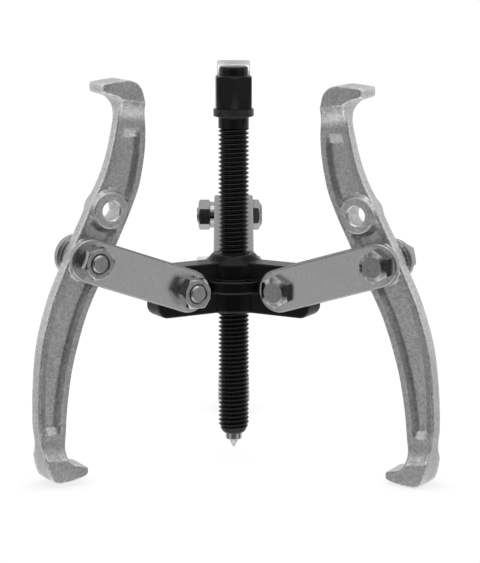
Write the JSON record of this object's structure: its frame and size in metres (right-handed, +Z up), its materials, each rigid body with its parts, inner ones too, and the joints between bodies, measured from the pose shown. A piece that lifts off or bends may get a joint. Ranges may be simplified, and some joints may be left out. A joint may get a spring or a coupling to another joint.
{
  "type": "gear puller",
  "caption": "Reversible three-jaw gear puller: forcing screw with hexagon head and pointed tip, forged yoke, strap links bolted in pairs, and double-ended hooked jaws.",
  "frame": {"origin": "on the forcing screw's axis, at the lower edge of the centre point's cylindrical shoulder", "axes": "+Z up along the forcing screw towards the drive hexagon; the rear jaw lies along +Y, the left jaw at 210 degrees and the right jaw at 330 degrees"},
  "size_m": [0.1806, 0.1575, 0.1806],
  "materials": {
    "black_cast": "satin black finish on a forging",
    "black_oxide": "black oxide on cut threads and ground flats",
    "bright_steel": "bare turned steel",
    "zinc_forging": "bright zinc plate over a drop forging, satin with a fine forged grain",
    "zinc_strap": "bright zinc plate on flat bar with rolled edges",
    "zinc_fastener": "bright zinc plate on standard fasteners"
  },
  "bodies": {
    "yoke": {"yoke": "black_cast"},
    "centre_point": {"centre_point": "bright_steel"},
    "screw": {"forcing_screw": "black_oxide"},
    "left_links": {"left_head_side_strap": "zinc_strap", "left_nut_side_strap": "zinc_strap", "left_inner_bolt": "zinc_fastener", "left_outer_bolt": "zinc_fastener", "left_inner_nut": "zinc_fastener", "left_outer_nut": "zinc_fastener", "left_inner_spring_washer": "zinc_fastener", "left_outer_spring_washer": "zinc_fastener"},
    "left_jaw": {"left_jaw": "zinc_forging"},
    "right_links": {"right_head_side_strap": "zinc_strap", "right_nut_side_strap": "zinc_strap", "right_inner_bolt": "zinc_fastener", "right_outer_bolt": "zinc_fastener", "right_inner_nut": "zinc_fastener", "right_outer_nut": "zinc_fastener", "right_inner_spring_washer": "zinc_fastener", "right_outer_spring_washer": "zinc_fastener"},
    "right_jaw": {"right_jaw": "zinc_forging"},
    "rear_links": {"rear_head_side_strap": "zinc_strap", "rear_nut_side_strap": "zinc_strap", "rear_inner_bolt": "zinc_fastener", "rear_outer_bolt": "zinc_fastener", "rear_inner_nut": "zinc_fastener", "rear_outer_nut": "zinc_fastener", "rear_inner_spring_washer": "zinc_fastener", "rear_outer_spring_washer": "zinc_fastener"},
    "rear_jaw": {"rear_jaw": "zinc_forging"}
  },
  "joints": [
    {"name": "screw_spin", "type": "hinge", "parent": "centre_point", "child": "screw", "pos_m": [0, 0, 0.07], "axis": [0, 0, 1], "range_deg": [-10100, 6500]},
    {"name": "screw_feed", "type": "slide", "parent": "yoke", "child": "centre_point", "axis": [0, 0, 1], "range_m": [-0.056, 0.036]},
    {"name": "left_link_pivot", "type": "hinge", "parent": "yoke", "child": "left_links", "pos_m": [-0.02425, -0.014, 0.0731], "axis": [-0.5, 0.866, 0], "range_deg": [-25, 12]},
    {"name": "left_jaw_pivot", "type": "hinge", "parent": "left_links", "child": "left_jaw", "pos_m": [-0.06577, -0.03797, 0.09081], "axis": [-0.5, 0.866, 0], "range_deg": [-25, 12]},
    {"name": "right_link_pivot", "type": "hinge", "parent": "yoke", "child": "right_links", "pos_m": [0.02425, -0.014, 0.0731], "axis": [-0.5, -0.866, 0], "range_deg": [-25, 12]},
    {"name": "right_jaw_pivot", "type": "hinge", "parent": "right_links", "child": "right_jaw", "pos_m": [0.06637, -0.03832, 0.08879], "axis": [-0.5, -0.866, 0], "range_deg": [-25, 12]},
    {"name": "rear_link_pivot", "type": "hinge", "parent": "yoke", "child": "rear_links", "pos_m": [0, 0.028, 0.0731], "axis": [1, 0, 0], "range_deg": [-25, 12]},
    {"name": "rear_jaw_pivot", "type": "hinge", "parent": "rear_links", "child": "rear_jaw", "pos_m": [0, 0.07502, 0.09313], "axis": [1, 0, 0], "range_deg": [-25, 12]}
  ],
  "couplings": [
    {"joint": "screw_spin", "follows": "screw_feed", "rad_per_m": 3141.6}
  ]
}
